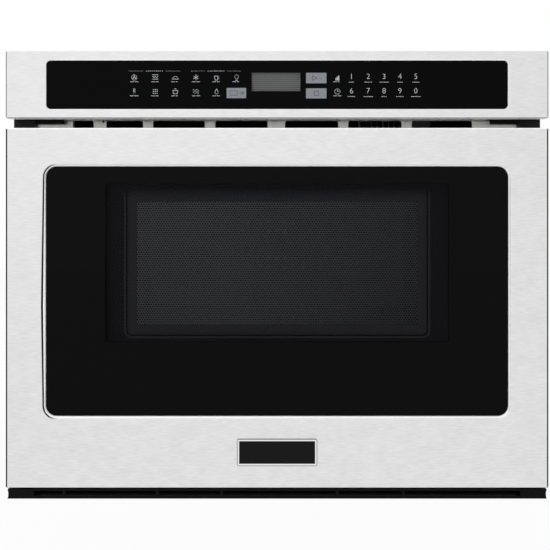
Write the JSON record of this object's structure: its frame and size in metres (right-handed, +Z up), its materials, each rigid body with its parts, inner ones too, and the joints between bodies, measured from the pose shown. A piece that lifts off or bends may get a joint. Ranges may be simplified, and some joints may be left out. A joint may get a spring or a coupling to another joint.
{
  "type": "microwave drawer",
  "caption": "Built-in convection microwave drawer: stainless front with a screened window, touch control panel above, and a motor-driven drawer on telescopic slides.",
  "frame": {"origin": "middle of the outer box in X and Y, on the underside of the intake grille in Z", "axes": "+X to the right seen from the front, -Y out of the front towards the user, +Z up"},
  "size_m": [0.606, 0.594, 0.5],
  "materials": {
    "stainless": "brushed stainless steel, horizontal grain",
    "black_glass": "polished glass with black print on its back",
    "clear_glass": "clear tempered glass",
    "glass_ceramic": "dark glass-ceramic",
    "black_plastic": "black moulded plastic",
    "white_plastic": "natural acetal",
    "grey_plastic": "grey moulded plastic",
    "screen_enamel": "black enamelled perforated sheet",
    "black_enamel": "black powder coat",
    "grey_enamel": "grey oven enamel",
    "badge_chrome": "chrome rim, black field",
    "rubber": "black rubber",
    "zinc_screws": "zinc plated",
    "zinc_steel": "zinc plated slide steel",
    "bright_steel": "bright steel balls and cages",
    "galvanised": "galvanised sheet",
    "aluminised": "aluminised sheet",
    "aluminium_sheet": "mill finish",
    "heater_sheath": "oxidised heater sheath",
    "lamp_steel": "plated sheet, glass bulb and lens",
    "motor_steel": "painted motor steel",
    "mica": "mica sheet",
    "transformer": "varnished core and coils",
    "board_green": "green circuit board"
  },
  "bodies": {
    "chassis": {"rail_outer_members": "zinc_steel", "rail_brackets": "galvanised", "drive_motor": "grey_plastic", "drive_bracket": "galvanised", "base_pan": "galvanised", "side_plates": "galvanised", "rear_panel": "galvanised", "top_cover": "galvanised", "cover_screws": "zinc_screws", "mounting_flanges": "black_enamel", "front_frame": "galvanised", "vent_plate": "galvanised", "bottom_grille": "black_plastic", "cord_inlet": "rubber", "panel_trim": "stainless", "touch_glass": "black_glass", "display_board": "board_green", "panel_housing": "black_plastic", "cavity_shell": "grey_enamel", "grill_heater": "heater_sheath", "cavity_lamp": "lamp_steel", "fan_cover": "grey_enamel", "convection_housing": "aluminised", "convection_motor": "motor_steel", "convection_heater": "heater_sheath", "waveguide": "aluminised", "stirrer_cover": "mica", "stirrer_motor": "grey_plastic", "magnetron": "aluminium_sheet", "hv_transformer": "transformer", "hv_capacitor": "aluminium_sheet", "air_duct": "grey_plastic", "cooling_fan_motor": "motor_steel", "control_boards": "board_green", "interlock_switches": "black_plastic"},
    "drawer": {"door_frame": "stainless", "door_glass": "black_glass", "glass_frame": "black_plastic", "door_screen": "screen_enamel", "choke_frame": "black_enamel", "choke_cover": "black_plastic", "inner_glass": "clear_glass", "inner_panel": "black_enamel", "badge_plate": "badge_chrome", "drawer_bumpers": "rubber", "door_screws": "zinc_screws", "drawer_box": "grey_enamel", "glass_tray": "glass_ceramic", "drive_rack": "white_plastic", "latch_hooks": "white_plastic", "drawer_brackets": "black_enamel", "rail_inner_members": "zinc_steel"},
    "rail_middle_right": {"rail_middle_right": "zinc_steel"},
    "rail_middle_left": {"rail_middle_left": "zinc_steel"},
    "ball_cages_outer": {"ball_cages_outer": "bright_steel"},
    "ball_cages_inner": {"ball_cages_inner": "bright_steel"},
    "drive_pinion": {"drive_pinion": "white_plastic"},
    "convection_fan": {"convection_fan": "aluminised"},
    "cooling_fan": {"cooling_fan": "black_plastic"},
    "stirrer": {"stirrer": "aluminium_sheet"}
  },
  "joints": [
    {"name": "drawer_slide", "type": "slide", "parent": "chassis", "child": "drawer", "axis": [0, -1, 0], "range_m": [0, 0.381]},
    {"name": "rail_right_slide", "type": "slide", "parent": "chassis", "child": "rail_middle_right", "axis": [0, -1, 0], "range_m": [0, 0.1905]},
    {"name": "rail_left_slide", "type": "slide", "parent": "chassis", "child": "rail_middle_left", "axis": [0, -1, 0], "range_m": [0, 0.1905]},
    {"name": "outer_cage_slide", "type": "slide", "parent": "chassis", "child": "ball_cages_outer", "axis": [0, -1, 0], "range_m": [0, 0.09525]},
    {"name": "inner_cage_slide", "type": "slide", "parent": "chassis", "child": "ball_cages_inner", "axis": [0, -1, 0], "range_m": [0, 0.28575]},
    {"name": "pinion_spin", "type": "hinge", "parent": "chassis", "child": "drive_pinion", "pos_m": [0.239, -0.215, 0.054], "axis": [1, 0, 0], "range_deg": [0, 1820]},
    {"name": "convection_fan_spin", "type": "hinge", "parent": "chassis", "child": "convection_fan", "pos_m": [0, 0.2, 0.277], "axis": [0, 1, 0], "continuous": true},
    {"name": "cooling_fan_spin", "type": "hinge", "parent": "chassis", "child": "cooling_fan", "pos_m": [-0.18, 0.23625, 0.08], "axis": [0, 0, 1], "continuous": true},
    {"name": "stirrer_spin", "type": "hinge", "parent": "chassis", "child": "stirrer", "pos_m": [0, -0.04, 0.4], "axis": [0, 0, 1], "continuous": true}
  ],
  "couplings": [
    {"joint": "rail_right_slide", "follows": "drawer_slide", "ratio": 0.5},
    {"joint": "rail_left_slide", "follows": "drawer_slide", "ratio": 0.5},
    {"joint": "outer_cage_slide", "follows": "drawer_slide", "ratio": 0.25},
    {"joint": "inner_cage_slide", "follows": "drawer_slide", "ratio": 0.75},
    {"joint": "pinion_spin", "follows": "drawer_slide", "rad_per_m": 83.333}
  ]
}
